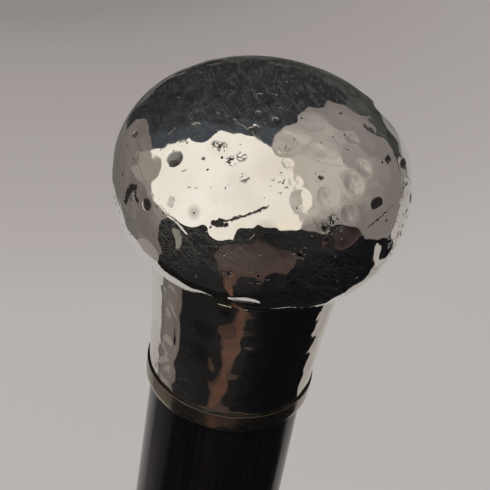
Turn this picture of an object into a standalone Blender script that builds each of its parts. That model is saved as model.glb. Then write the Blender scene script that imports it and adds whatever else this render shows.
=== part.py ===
"""Silver-knob walking cane.

A hollow knob raised in two halves from silver sheet, with a flared collar and a band, is set with
pitch on the tenon of a tapered black wooden shaft that ends in a brass ferrule with a steel tip.

Metres, +Z up along the cane. The origin is the centre of the knob's widest circle, where the palm
closes on it, so the crown is above the origin and everything else hangs below it.
"""

import math

import bmesh
import bpy
from mathutils import Matrix

MM = 0.001

# Whole cane
CANE_LENGTH = 900.0 * MM           # from the knob's crown to the ground
FIT = 0.3 * MM                     # clearance between a piece and the one that it seats in
EDGE_BREAK = 0.15 * MM             # small chamfer on a metal edge

# Knob: crown above the widest circle, belly below it, each a quarter of a superellipse
KNOB_DIAMETER = 40.0 * MM
CROWN_HEIGHT = 14.1 * MM
BELLY_DEPTH = 14.2 * MM
CROWN_FULLNESS = 2.17              # power of the curve: 2 is an ellipse, more is squarer
BELLY_FULLNESS = 2.375
KNOB_GAUGE = 0.8 * MM              # thickness of the knob's sheet
LAP_HEIGHT = 2.0 * MM              # how far the bowl's lap rises inside the cap
LAP_ROOT = 1.5 * MM                # how far the lap's strip reaches down inside the bowl
LAP_GAUGE = 0.7 * MM
NECK_DEPTH = 2.5 * MM              # how far the bowl's neck reaches down inside the collar

# Collar and band
COLLAR_TOP_DIAMETER = 27.2 * MM
COLLAR_LENGTH = 20.6 * MM          # from the knob's underside to the band
COLLAR_FLARE = 1.25                # power of the taper: 1 is straight, more flares at the top
COLLAR_GAUGE = 0.7 * MM
BAND_HEIGHT = 3.2 * MM
BAND_GAUGE = 0.65 * MM
BAND_ROUNDING = 0.9 * MM           # height of the rounding on the band's lower edge

# Shaft
SHAFT_TOP_DIAMETER = 22.3 * MM     # just under the band
SHAFT_FOOT_DIAMETER = 16.6 * MM    # at the ferrule's top edge
TENON_LENGTH = 26.0 * MM           # above the collar's foot
TENON_SHOULDER = 0.25 * MM         # step in from the shaft to the tenon
TENON_CHAMFER = 0.8 * MM
PITCH_WALL = 0.6 * MM              # thinnest layer of pitch between the tenon and the silver

# Screw in the tenon's top, with its head locked in the pitch
SCREW_DIAMETER = 5.0 * MM
SCREW_BITE = 16.0 * MM             # length in the wood
SCREW_STAND = 6.0 * MM             # shank left standing out of the wood
SCREW_POINT = 4.0 * MM             # length of its cone point
SCREW_HEAD_DIAMETER = 9.0 * MM
SCREW_HEAD_HEIGHT = 3.0 * MM

# Ferrule
FERRULE_LENGTH = 45.0 * MM
FERRULE_FOOT_DIAMETER = 14.6 * MM
FERRULE_GAUGE = 0.9 * MM
TIP_HEIGHT = 3.5 * MM
TIP_ROUNDING = 0.9 * MM
TIP_SPIGOT = 6.0 * MM              # how far the tip's spigot reaches up into the ferrule
PIN_COUNT = 2
PIN_DROP = 9.0 * MM                # pins' distance below the ferrule's top edge
PIN_DIAMETER = 1.5 * MM
PIN_BITE = 3.5 * MM                # length of a pin in the wood
PIN_HEAD_DIAMETER = 3.2 * MM
PIN_HEAD_HEIGHT = 0.8 * MM

# Fineness of the round surfaces
KNOB_SIDES = 64
SHAFT_SIDES = 48
CORE_SIDES = 40
SCREW_SIDES = 20
PIN_SIDES = 14
CROWN_STEPS = 12
BELLY_STEPS = 10
INSIDE_STEPS = 8
COLLAR_STEPS = 5
SHAFT_STEPS = 6
ROUNDING_STEPS = 3
WELD = 0.001 * MM

# Radii and levels that follow from the sizes above
KNOB_RADIUS = KNOB_DIAMETER / 2
COLLAR_TOP_RADIUS = COLLAR_TOP_DIAMETER / 2
SHAFT_TOP_RADIUS = SHAFT_TOP_DIAMETER / 2
SHAFT_FOOT_RADIUS = SHAFT_FOOT_DIAMETER / 2
TENON_FOOT_RADIUS = SHAFT_TOP_RADIUS - TENON_SHOULDER
COLLAR_FOOT_RADIUS = TENON_FOOT_RADIUS + FIT + COLLAR_GAUGE
LAP_OUTER_RADIUS = KNOB_RADIUS - KNOB_GAUGE - FIT
LAP_INNER_RADIUS = LAP_OUTER_RADIUS - LAP_GAUGE
SCREW_RADIUS = SCREW_DIAMETER / 2
PIN_LENGTH = FIT + FERRULE_GAUGE + FIT + PIN_BITE    # under the head, which stands off by the fit


def belly_level(radius):
    """Height of the knob's underside at this distance from the axis."""
    inward = (radius / KNOB_RADIUS) ** BELLY_FULLNESS
    return -BELLY_DEPTH * (1.0 - inward) ** (1.0 / BELLY_FULLNESS)


THROAT = belly_level(COLLAR_TOP_RADIUS)
NECK_FOOT = THROAT - NECK_DEPTH
COLLAR_FOOT = THROAT - COLLAR_LENGTH
BAND_FOOT = COLLAR_FOOT - BAND_HEIGHT
TENON_FOOT = COLLAR_FOOT - FIT
TENON_TOP = COLLAR_FOOT + TENON_LENGTH
GROUND = CROWN_HEIGHT - CANE_LENGTH
FERRULE_FOOT = GROUND + TIP_HEIGHT
FERRULE_TOP = FERRULE_FOOT + FERRULE_LENGTH
SPIGOT_FOOT = FERRULE_FOOT + TIP_SPIGOT + FIT
PIN_LEVEL = FERRULE_TOP - PIN_DROP


def collar_radius(level):
    """Outer radius of the collar at this height: it flares up towards the knob."""
    rise = (level - COLLAR_FOOT) / COLLAR_LENGTH
    return COLLAR_FOOT_RADIUS + (COLLAR_TOP_RADIUS - COLLAR_FOOT_RADIUS) * rise ** COLLAR_FLARE


def ferrule_radius(level):
    """Outer radius of the ferrule, flush with the shaft at its top edge."""
    rise = (level - FERRULE_FOOT) / FERRULE_LENGTH
    foot = FERRULE_FOOT_DIAMETER / 2
    return foot + (SHAFT_FOOT_RADIUS - foot) * rise


NECK_OUTER_RADIUS = collar_radius(NECK_FOOT) - COLLAR_GAUGE - FIT
NECK_INNER_RADIUS = NECK_OUTER_RADIUS - KNOB_GAUGE
PEG_RADIUS = NECK_INNER_RADIUS - FIT - PITCH_WALL - FIT


def tenon_radius(level):
    """The tenon tapers up to the neck and runs parallel through it as a peg."""
    rise = min((level - TENON_FOOT) / (NECK_FOOT - TENON_FOOT), 1.0)
    return TENON_FOOT_RADIUS + (PEG_RADIUS - TENON_FOOT_RADIUS) * rise


def evenly(first, last, steps):
    """Values from first to last, both included."""
    return [first + (last - first) * step / steps for step in range(steps + 1)]


def knob_curve(radius, height, fullness, steps, top=None, inner=0.0):
    """Quarter of the knob's section, from the widest circle in to the axis.

    The height is negative for the belly. The curve starts at the level top, where one is given,
    and ends at the radius inner.
    """
    power = 2.0 / fullness
    first = math.asin((top / height) ** (1.0 / power)) if top else 0.0
    last = math.acos((inner / radius) ** (1.0 / power))
    return [
        (radius * math.cos(angle) ** power, height * math.sin(angle) ** power)
        for angle in evenly(first, last, steps)
    ]


def rounding(radius, level, inward, upward):
    """Quarter of an ellipse that rounds a turned piece's side over to its end at this level.

    It takes off inward from the radius and upward from the side: a negative height where the end
    is the piece's top.
    """
    return [
        (radius - inward * (1.0 - math.cos(angle)), level + upward * (1.0 - math.sin(angle)))
        for angle in evenly(0.0, math.pi / 2, ROUNDING_STEPS)
    ]


def turned(outline, sides):
    """One closed body turned about Z from (radius, height) pairs along its section.

    The section is a loop, or a line that starts and ends on the axis.
    """
    bm = bmesh.new()
    verts = [bm.verts.new((radius, 0.0, height)) for radius, height in outline]
    pairs = list(zip(verts, verts[1:]))
    if outline[0][0] > WELD:
        pairs.append((verts[-1], verts[0]))
    edges = [bm.edges.new(pair) for pair in pairs]
    bmesh.ops.spin(
        bm,
        geom=verts + edges,
        cent=(0.0, 0.0, 0.0),
        axis=(0.0, 0.0, 1.0),
        angle=math.tau,
        steps=sides,
        use_merge=True,
    )
    bmesh.ops.remove_doubles(bm, verts=bm.verts, dist=WELD)
    bmesh.ops.recalc_face_normals(bm, faces=bm.faces)
    return bm


def copied_round(bm, count):
    """Repeat the one body in bm so that count of them stand evenly about Z."""
    body = bm.verts[:] + bm.edges[:] + bm.faces[:]
    for copy in range(1, count):
        made = bmesh.ops.duplicate(bm, geom=body)["geom"]
        verts = [item for item in made if isinstance(item, bmesh.types.BMVert)]
        turn = Matrix.Rotation(math.tau * copy / count, 3, "Z")
        bmesh.ops.rotate(bm, verts=verts, cent=(0.0, 0.0, 0.0), matrix=turn)
    return bm


def material(name, color, roughness, metallic):
    """A plain finish: linear colour, roughness and metallic value."""
    finish = bpy.data.materials.new(name)
    finish.use_nodes = True
    shader = finish.node_tree.nodes["Principled BSDF"]
    shader.inputs["Base Color"].default_value = (*color, 1.0)
    shader.inputs["Roughness"].default_value = roughness
    shader.inputs["Metallic"].default_value = metallic
    finish.diffuse_color = (*color, 1.0)
    return finish


def placed(name, bm, finish=None):
    """Put the body into the scene as one named object, smooth across its gentle angles."""
    mesh = bpy.data.meshes.new(name)
    bm.to_mesh(mesh)
    bm.free()
    mesh.shade_smooth()
    mesh.set_sharp_from_angle(angle=math.radians(32.0))
    obj = bpy.data.objects.new(name, mesh)
    if finish:
        mesh.materials.append(finish)
    bpy.context.collection.objects.link(obj)
    return obj


def cut(obj, cutter):
    """Take the cutter's space out of the object."""
    modifier = obj.modifiers.new("Cut " + cutter.name, "BOOLEAN")
    modifier.operation = "DIFFERENCE"
    modifier.solver = "EXACT"
    modifier.object = cutter


def knob_cap(silver):
    """Domed upper half of the knob, open at the widest circle."""
    outside = knob_curve(KNOB_RADIUS, CROWN_HEIGHT, CROWN_FULLNESS, CROWN_STEPS)
    inside = knob_curve(
        KNOB_RADIUS - KNOB_GAUGE, CROWN_HEIGHT - KNOB_GAUGE, CROWN_FULLNESS, INSIDE_STEPS
    )
    return placed("knob_cap", turned(outside[::-1] + inside, KNOB_SIDES), silver)


def knob_bowl(silver):
    """Lower half of the knob, with a lap that rises inside the cap and a neck for the collar."""
    outside = knob_curve(
        KNOB_RADIUS, -BELLY_DEPTH, BELLY_FULLNESS, BELLY_STEPS, inner=NECK_OUTER_RADIUS
    )
    inside = knob_curve(
        KNOB_RADIUS - KNOB_GAUGE,
        KNOB_GAUGE - BELLY_DEPTH,
        BELLY_FULLNESS,
        INSIDE_STEPS,
        top=-LAP_ROOT,
        inner=NECK_INNER_RADIUS,
    )
    neck = [(NECK_OUTER_RADIUS, NECK_FOOT), (NECK_INNER_RADIUS, NECK_FOOT)]
    lap = [
        (LAP_INNER_RADIUS, -LAP_ROOT),
        (LAP_INNER_RADIUS, LAP_HEIGHT),
        (LAP_OUTER_RADIUS, LAP_HEIGHT),
        (LAP_OUTER_RADIUS, 0.0),
    ]
    return placed("knob_bowl", turned(outside + neck + inside[::-1] + lap, KNOB_SIDES), silver)


def collar(silver):
    """Flared tube under the knob. Its top edge follows the knob's underside."""
    inner_top = COLLAR_TOP_RADIUS - COLLAR_GAUGE
    levels = evenly(COLLAR_FOOT + EDGE_BREAK, THROAT - FIT, COLLAR_STEPS)
    outside = [(collar_radius(level), level) for level in levels]
    inside = [(radius - COLLAR_GAUGE, level) for radius, level in outside[:-1]]
    inside.append((inner_top, belly_level(inner_top) - FIT))
    foot = [
        (COLLAR_FOOT_RADIUS - COLLAR_GAUGE, COLLAR_FOOT),
        (COLLAR_FOOT_RADIUS - EDGE_BREAK, COLLAR_FOOT),
    ]
    return placed("collar", turned(outside + inside[::-1] + foot, KNOB_SIDES), silver)


def collar_band(silver):
    """Ring that finishes the collar's foot. The broken edges leave a fine line between them."""
    inner = SHAFT_TOP_RADIUS + FIT
    outer = inner + BAND_GAUGE
    outline = [
        (inner, COLLAR_FOOT),
        (outer - EDGE_BREAK, COLLAR_FOOT),
        (outer, COLLAR_FOOT - EDGE_BREAK),
        *rounding(outer, BAND_FOOT, BAND_GAUGE - EDGE_BREAK, BAND_ROUNDING),
        (inner, BAND_FOOT),
    ]
    return placed("collar_band", turned(outline, KNOB_SIDES), silver)


def screw_outline(spare):
    """The screw above the wood, from its head's crown down to the tenon's top face.

    With some spare room added all round, the same outline is the screw's pocket in the pitch.
    """
    foot = TENON_TOP + SCREW_STAND - spare
    top = TENON_TOP + SCREW_STAND + SCREW_HEAD_HEIGHT + spare
    radius = SCREW_HEAD_DIAMETER / 2 + spare
    crown = rounding(radius, top, SCREW_HEAD_DIAMETER / 4, -SCREW_HEAD_HEIGHT / 2)
    return [(0.0, top), *crown[::-1], (radius, foot), (SCREW_RADIUS + spare, foot)]


def knob_screw(iron):
    """Iron screw with its point down in the tenon."""
    point = TENON_TOP - SCREW_BITE
    shank = [(SCREW_RADIUS, point + SCREW_POINT), (0.0, point)]
    return placed("knob_screw", turned(screw_outline(0.0) + shank, SCREW_SIDES), iron)


def knob_filling(pitch):
    """Pitch cast round the tenon and the screw: it fills the knob, the neck and the flare."""
    radius = KNOB_RADIUS - KNOB_GAUGE - FIT
    shoulder = LAP_HEIGHT + FIT
    hip = -LAP_ROOT - FIT
    crown = knob_curve(
        radius, CROWN_HEIGHT - KNOB_GAUGE - FIT, CROWN_FULLNESS, INSIDE_STEPS, top=shoulder
    )
    lap = [(LAP_INNER_RADIUS - FIT, shoulder), (LAP_INNER_RADIUS - FIT, hip)]
    belly = knob_curve(
        radius,
        KNOB_GAUGE + FIT - BELLY_DEPTH,
        BELLY_FULLNESS,
        INSIDE_STEPS,
        top=hip,
        inner=NECK_INNER_RADIUS - FIT,
    )
    skirt = []
    for level in evenly(NECK_FOOT - FIT, COLLAR_FOOT, 2 * COLLAR_STEPS):
        outer = collar_radius(level) - COLLAR_GAUGE - FIT
        if outer - tenon_radius(level) - FIT >= PITCH_WALL:
            skirt.append((outer, level))
    foot = skirt[-1][1] if skirt else NECK_FOOT - FIT
    neck = [(NECK_INNER_RADIUS - FIT, NECK_FOOT - FIT)]
    bore = [
        (tenon_radius(foot) + FIT, foot),
        (PEG_RADIUS + FIT, NECK_FOOT),
        (PEG_RADIUS + FIT, TENON_TOP + FIT),
        (SCREW_RADIUS + FIT, TENON_TOP + FIT),
    ]
    outline = crown[::-1] + lap + belly + neck + skirt + bore + screw_outline(FIT)[::-1]
    return placed("knob_filling", turned(outline, CORE_SIDES), pitch)


def shaft(wood):
    """Tapered shaft with a tenon for the knob and a spigot for the ferrule."""
    bore_floor = TENON_TOP - SCREW_BITE - FIT
    bore_radius = SCREW_RADIUS + FIT
    tenon = [
        (0.0, bore_floor),
        (bore_radius, bore_floor),
        (bore_radius, TENON_TOP),
        (PEG_RADIUS - TENON_CHAMFER, TENON_TOP),
        (PEG_RADIUS, TENON_TOP - TENON_CHAMFER),
        (PEG_RADIUS, NECK_FOOT),
        (TENON_FOOT_RADIUS, TENON_FOOT),
        (SHAFT_TOP_RADIUS, TENON_FOOT),
    ]
    radii = evenly(SHAFT_TOP_RADIUS, SHAFT_FOOT_RADIUS, SHAFT_STEPS)
    body = list(zip(radii, evenly(BAND_FOOT, FERRULE_TOP, SHAFT_STEPS)))
    spigot = [
        (ferrule_radius(level) - FERRULE_GAUGE - FIT, level) for level in (FERRULE_TOP, SPIGOT_FOOT)
    ]
    outline = tenon + body + spigot + [(0.0, SPIGOT_FOOT)]
    return placed("shaft", turned(outline, SHAFT_SIDES), wood)


def ferrule(brass):
    """Tapered brass tube over the shaft's spigot."""
    foot = ferrule_radius(FERRULE_FOOT)
    outline = [
        (SHAFT_FOOT_RADIUS - EDGE_BREAK, FERRULE_TOP),
        (ferrule_radius(FERRULE_TOP - EDGE_BREAK), FERRULE_TOP - EDGE_BREAK),
        (foot, FERRULE_FOOT),
        (foot - FERRULE_GAUGE, FERRULE_FOOT),
        (SHAFT_FOOT_RADIUS - FERRULE_GAUGE, FERRULE_TOP),
    ]
    return placed("ferrule", turned(outline, SHAFT_SIDES), brass)


def ferrule_tip(steel):
    """Steel tip: a flange under the ferrule's edge, and a spigot inside it."""
    outer = ferrule_radius(FERRULE_FOOT)
    spigot = outer - FERRULE_GAUGE - FIT
    outline = [
        (0.0, FERRULE_FOOT + TIP_SPIGOT),
        (spigot - EDGE_BREAK, FERRULE_FOOT + TIP_SPIGOT),
        (spigot, FERRULE_FOOT + TIP_SPIGOT - EDGE_BREAK),
        (spigot, FERRULE_FOOT),
        (outer, FERRULE_FOOT),
        *rounding(outer, GROUND, TIP_ROUNDING, TIP_ROUNDING),
        (0.0, GROUND),
    ]
    return placed("ferrule_tip", turned(outline, SHAFT_SIDES), steel)


def laid_outward(bm):
    """Lay a body that was turned about Z along +X, from just outside the ferrule inwards."""
    outside = ferrule_radius(PIN_LEVEL) + FIT
    turn = Matrix.Rotation(math.pi / 2, 4, "Y")
    bm.transform(Matrix.Translation((outside, 0.0, PIN_LEVEL)) @ turn)
    return bm


def ferrule_pins(brass):
    """Round-headed pins driven through the ferrule into the shaft's spigot."""
    point = PIN_DIAMETER / 2
    dome = rounding(PIN_HEAD_DIAMETER / 2, PIN_HEAD_HEIGHT, PIN_HEAD_DIAMETER / 2, -PIN_HEAD_HEIGHT)
    outline = [(0.0, -PIN_LENGTH), (point, point - PIN_LENGTH), (point, 0.0), *dome]
    first = placed("ferrule_pin_1", laid_outward(turned(outline, PIN_SIDES)), brass)
    for number in range(1, PIN_COUNT):
        pin = bpy.data.objects.new(f"ferrule_pin_{number + 1}", first.data)
        pin.rotation_euler.z = math.tau * number / PIN_COUNT
        bpy.context.collection.objects.link(pin)


def pin_holes():
    """Space of the pins' holes, from outside the ferrule to just past the pins' points."""
    floor = -PIN_LENGTH - FIT
    radius = PIN_DIAMETER / 2 + FIT
    outline = [(0.0, floor), (radius, floor), (radius, PIN_HEAD_HEIGHT), (0.0, PIN_HEAD_HEIGHT)]
    holes = copied_round(laid_outward(turned(outline, PIN_SIDES)), PIN_COUNT)
    cutter = placed("pin_holes", holes)
    cutter.hide_render = True
    cutter.display_type = "WIRE"
    return cutter


def build():
    for old in list(bpy.data.objects):
        bpy.data.objects.remove(old)
    silver = material("silver", (0.86, 0.84, 0.80), 0.12, 1.0)
    pitch = material("pitch", (0.030, 0.022, 0.016), 0.55, 0.0)
    iron = material("iron", (0.16, 0.15, 0.14), 0.6, 1.0)
    wood = material("black_wood", (0.012, 0.012, 0.013), 0.22, 0.0)
    brass = material("brass", (0.62, 0.45, 0.20), 0.32, 1.0)
    steel = material("steel", (0.36, 0.35, 0.34), 0.45, 1.0)

    knob_cap(silver)
    knob_bowl(silver)
    collar(silver)
    collar_band(silver)
    knob_filling(pitch)
    knob_screw(iron)
    holes = pin_holes()
    cut(shaft(wood), holes)
    cut(ferrule(brass), holes)
    ferrule_tip(steel)
    ferrule_pins(brass)


build()
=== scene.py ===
import math

import bmesh
import bpy
import numpy as np
from mathutils import Matrix, Vector, geometry


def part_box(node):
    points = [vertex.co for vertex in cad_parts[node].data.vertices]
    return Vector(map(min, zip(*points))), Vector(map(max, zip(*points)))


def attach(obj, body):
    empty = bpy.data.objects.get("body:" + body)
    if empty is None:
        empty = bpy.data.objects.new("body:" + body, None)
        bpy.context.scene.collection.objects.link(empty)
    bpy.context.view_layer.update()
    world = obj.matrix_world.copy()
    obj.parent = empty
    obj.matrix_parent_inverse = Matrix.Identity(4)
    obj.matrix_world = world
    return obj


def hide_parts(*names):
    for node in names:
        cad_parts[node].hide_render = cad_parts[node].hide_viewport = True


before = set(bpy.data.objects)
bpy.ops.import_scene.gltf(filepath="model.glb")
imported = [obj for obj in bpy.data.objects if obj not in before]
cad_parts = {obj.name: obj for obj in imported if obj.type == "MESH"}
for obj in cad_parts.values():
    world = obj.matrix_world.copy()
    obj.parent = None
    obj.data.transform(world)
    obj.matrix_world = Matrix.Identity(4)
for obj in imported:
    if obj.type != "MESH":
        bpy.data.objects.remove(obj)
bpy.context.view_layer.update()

# The looks of a silver-knob walking cane: a hand-hammered silver knob, collar and band on a black
# polished shaft with a brass ferrule. Metres, +Z up, azimuth 0 towards the camera, positive right.

MM = 0.001

# Camera, found from the knob's, collar's and shaft's outlines in the photograph
FRAME_PIXELS = 490
FOCAL_PIXELS = 1418.67
SENSOR_WIDTH = 36.0
CAMERA_DISTANCE = 188.3 * MM
CAMERA_ELEVATION = math.radians(33.13)
CAMERA_ROLL = math.radians(9.99)
CAMERA_AIM = Vector((-0.81, 0.0, -11.27)) * MM

# Knob's outline, the same curves as in the CAD
KNOB_RADIUS, CROWN_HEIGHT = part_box("knob_cap")[1].xz
CROWN_RUN = 26.0 * MM  # length of the crown's curve, from the widest circle up
CROWN_FULLNESS = 2.17
BELLY_DEPTH = 14.2 * MM
BELLY_RUN = 20.0 * MM
BELLY_FULLNESS = 2.375
KNOB_GAUGE = 0.8 * MM
NECK_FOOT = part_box("knob_bowl")[0].z
NECK_RADIUS = 12.35 * MM

# Collar, band, shaft and ferrule
COLLAR_TOP_RADIUS, COLLAR_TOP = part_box("collar")[1].xz
COLLAR_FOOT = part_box("collar")[0].z
COLLAR_FOOT_RADIUS = 11.9 * MM
COLLAR_FLARE = 1.25
COLLAR_GAUGE = 0.7 * MM
COLLAR_RISE = 20.6 * MM
BAND_RADIUS, BAND_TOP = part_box("collar_band")[1].xz
BAND_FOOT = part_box("collar_band")[0].z
BAND_BORE = 11.45 * MM
BAND_ROUNDING = 1.2 * MM
SHAFT_TOP_RADIUS, TENON_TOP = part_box("shaft")[1].xz
TENON_FOOT = COLLAR_FOOT - 0.3 * MM
TENON_FOOT_RADIUS = 10.9 * MM
PEG_RADIUS = 10.35 * MM
PEG_CHAMFER = 0.8 * MM
SCREW_HOLE_RADIUS = 2.8 * MM
SCREW_HOLE_DEPTH = 16.3 * MM
SPIGOT_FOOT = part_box("shaft")[0].z
SPIGOT_CLEARANCE = 0.3 * MM
FERRULE_TOP_RADIUS, FERRULE_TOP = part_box("ferrule")[1].xz
FERRULE_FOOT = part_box("ferrule")[0].z
FERRULE_FOOT_RADIUS = 7.3 * MM
FERRULE_GAUGE = 0.9 * MM
PIN_HEAD_RADIUS = 1.6 * MM
PIN_HEAD_HEIGHT = 0.8 * MM
PIN_RADIUS = 0.75 * MM
PIN_LENGTH = 5.0 * MM
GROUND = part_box("ferrule_tip")[0].z
EDGE_BREAK = 0.15 * MM

# Faces round each piece, and rows of them down its skin
KNOB_SIDES = 400
KNOB_ROW = 0.27 * MM  # height of one row
COLLAR_SIDES, COLLAR_ROWS = 288, 76
BAND_SIDES = 256
SHAFT_SIDES, SHAFT_ROWS = 128, 161
FERRULE_SIDES, FERRULE_ROWS = 144, 90
PIN_SIDES = 32
SHARP_ANGLE = math.radians(35.0)  # the shading breaks at steeper edges
CARD_SPLITS = 4  # times that a studio card's faces are split to bend it round

# Lamps, in metres
LAMP_SIZE = 3.0
LAMP_DISTANCE = 4.5

# Hammer work
BLOW_TRIES = 9000  # places that are tried for a blow
BLOW_REACH = 2.5  # a blow fades out at this many of its radii
BLOW_DEPTHS = (0.55, 1.2)  # the lightest and heaviest blow, as shares of the usual depth
BLOW_SIZES = (0.8, 1.25)  # the same for its radius
RIM_SHARPNESS = 5.0  # of a dent: a larger number gives a narrower rim

# Dents in the knob: azimuth in degrees, height, radius and depth in mm
DENTS = [
    (-42.4, 8.7, 1.2, 0.28), (-24.3, 4.5, 1.5, 0.07), (-12.2, 4.1, 1.6, 0.2),
    (17.2, 8.4, 1.3, 0.14), (4.5, 5.1, 1.3, 0.08), (29.5, 10.2, 1.35, 0.14), (43.8, 9.1, 1.5, 0.26),
    (53.5, 9.9, 1.2, 0.18), (29.3, 8.5, 1.4, 0.17), (37.4, 6.6, 1.1, 0.1), (31, 11.9, 1.2, 0.06),
    (60, 11.9, 1, 0.1), (-17.7, 13.4, 0.8, 0.04), (1.9, 13.4, 0.9, 0.05), (-13.2, 12.8, 0.9, 0.05),
    (-38.1, 13.9, 0.8, 0.05), (52.8, 6.55, 0.75, 0.06), (72.4, 9.4, 0.7, 0.08),
    (82.3, 7.7, 0.8, 0.08), (81, 11.6, 0.9, 0.08), (-54.9, 0.7, 0.8, 0.08), (-53.8, 2.5, 0.9, 0.1),
    (-49.5, 2.1, 0.6, 0.06), (-43.4, 2.6, 0.8, 0.1), (-71.1, 7, 0.8, 0.07), (-50, 6.8, 1.8, 0.12),
    (-62, 5.5, 1.3, 0.1), (35.4, 4, 1.5, 0.09), (28, 3.6, 0.9, 0.1), (26.7, 5.5, 0.9, 0.07),
    (-1, 1, 1.6, 0.04), (20, -2, 1.3, 0.06), (128, 8, 1.3, 0.1), (164, 3, 1, 0.08),
    (-148, 6, 1.2, 0.12), (-112, 10.5, 0.9, 0.08), (-128, 12, 1.2, 0.1), (119, 12.3, 1.2, 0.1),
    (107, 11.2, 0.9, 0.08), (-172, 13.2, 1.3, 0.06), (108, -3, 0.9, 0.07),
]

# The same in the collar
COLLAR_DENTS = [
    (57, -16.2, 1.5, 0.07), (54, -19.8, 1.5, 0.08), (52.5, -23.6, 1.6, 0.08),
    (51, -27.4, 1.5, 0.07), (50, -30.6, 1.3, 0.06), (-28, -18.5, 1.5, 0.05), (-12, -20, 1.2, 0.05),
    (-24, -24.5, 1.6, 0.05), (135, -20, 1.4, 0.06),
]

# Creases in the collar: azimuths in degrees and heights in mm, then width and depth in mm
CREASES = [
    (
        [(-53, -15.2), (-44.7, -17.1), (-38.5, -18.8), (-38.4, -23), (-44, -26.7), (-59, -30.2)],
        0.3,
        0.055,
    ),
    ([(48, -15), (44, -17.5), (47, -20)], 0.6, 0.05),
    ([(-14, -20.5), (-8, -24), (-12, -26)], 0.9, 0.05),
    ([(120, -14), (126, -22), (122, -29)], 0.6, 0.06),
]

# Tarnished pits in the knob: azimuth in degrees, height and radius in mm, darkness from 0 to 1
PITS = [
    (51, 6.55, 0.6, 0.97), (52, 6.55, 0.65, 0.97), (53, 6.55, 0.65, 0.97), (54, 6.55, 0.65, 0.97),
    (55, 6.55, 0.6, 0.97), (71.8, 9.25, 0.42, 0.97), (74.4, 9.2, 0.45, 0.97), (81, 7.5, 0.5, 0.97),
    (83.4, 7.4, 0.6, 0.97), (86, 7.3, 0.5, 0.97), (79.6, 3.3, 0.65, 0.85), (69.7, 1.2, 0.3, 0.8),
    (-62.9, 2.7, 0.25, 0.85), (7.8, -1.4, 0.25, 0.9), (-56.4, 0, 0.4, 0.92),
    (-56.2, 0.6, 0.48, 0.95), (-55.8, 1.2, 0.54, 0.95), (-55.3, 1.8, 0.56, 0.95),
    (-54.6, 2.4, 0.54, 0.95), (-53.6, 2.9, 0.5, 0.95), (-52.2, 3.2, 0.4, 0.92),
    (-51.2, 2.7, 0.26, 0.9), (-50.5, 2.3, 0.3, 0.9), (-49.6, 2, 0.34, 0.92),
    (-48.4, 1.9, 0.28, 0.9), (-43.4, 2.6, 0.78, 0.95), (-38.5, 3.1, 0.2, 0.8),
    (-34.8, 2.9, 0.18, 0.8), (-71.1, 7, 0.5, 0.6), (-47.4, 11.5, 0.42, 0.85),
    (-15, 12.75, 0.4, 0.9), (-12.2, 12.85, 0.45, 0.9), (-17.3, 13.5, 0.38, 0.8),
    (-38.1, 13.95, 0.42, 0.8), (-33, 13.9, 0.36, 0.8), (1.9, 13.4, 0.4, 0.75),
    (-14.6, 4.5, 0.36, 0.97), (-13.4, 4.5, 0.46, 0.97), (-12.1, 4.65, 0.4, 0.97),
    (-33.5, 5, 0.42, 0.33), (-33.2, 4.4, 0.42, 0.33), (-42.4, 8.6, 1.05, 0.76),
    (-41.6, 8.2, 0.6, 0.9), (28, 10.1, 0.34, 0.93), (29.4, 10.1, 0.22, 0.9),
    (-29.9, 9.85, 0.27, 0.8), (-23.1, 4.75, 0.16, 0.7), (80.3, 11.8, 0.45, 0.7),
    (81.9, 11.4, 0.45, 0.8), (31.1, 13.5, 0.17, 0.9), (76.1, 13.05, 0.22, 0.9),
    (-42.5, 10.16, 0.16, 0.9), (-63.3, 2.68, 0.22, 0.9), (56.5, 3.98, 0.22, 0.8),
]

# Scratches in the knob: two ends, each azimuth in degrees and height in mm, then width in mm and
# darkness
SCRATCHES = [
    ((-12, 4.75), (5, 7.6), 0.28, 0.95), ((-9, 5.35), (3.5, 7.35), 0.42, 0.4),
    ((-37.5, 3.6), (-30.5, 3.1), 0.09, 0), ((-30.5, 3.1), (-25.5, 2.2), 0.09, 0),
    ((-32.4, 12.85), (-6.3, 12.38), 0.06, 0), ((-55.2, 9.7), (-54.6, 10.4), 0.14, 0),
    ((-0.8, 3.9), (0.8, 4.35), 0.13, 0), ((22.2, 6.7), (24.5, 5.1), 0.09, 0.85),
    ((25.2, 5.6), (27.4, 5), 0.18, 0.9), ((25.8, 5.1), (28.6, 5.5), 0.15, 0.85),
    ((76, 5.9), (57.5, 5.1), 0.14, 0.9), ((60, 5.25), (45, 4.3), 0.24, 0.95),
    ((-35.6, 8), (-34.4, 8.4), 0.16, 0.95), ((-29.4, 7), (-28, 7.15), 0.12, 0.9),
    ((-26.4, 7.15), (-25.4, 7.4), 0.12, 0.9), ((-74, 5.3), (-56, 5.4), 0.08, 0.5),
    ((-56, 5.4), (-41, 4.1), 0.07, 0.5), ((150, 9), (170, 11), 0.08, 0.4),
]

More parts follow.
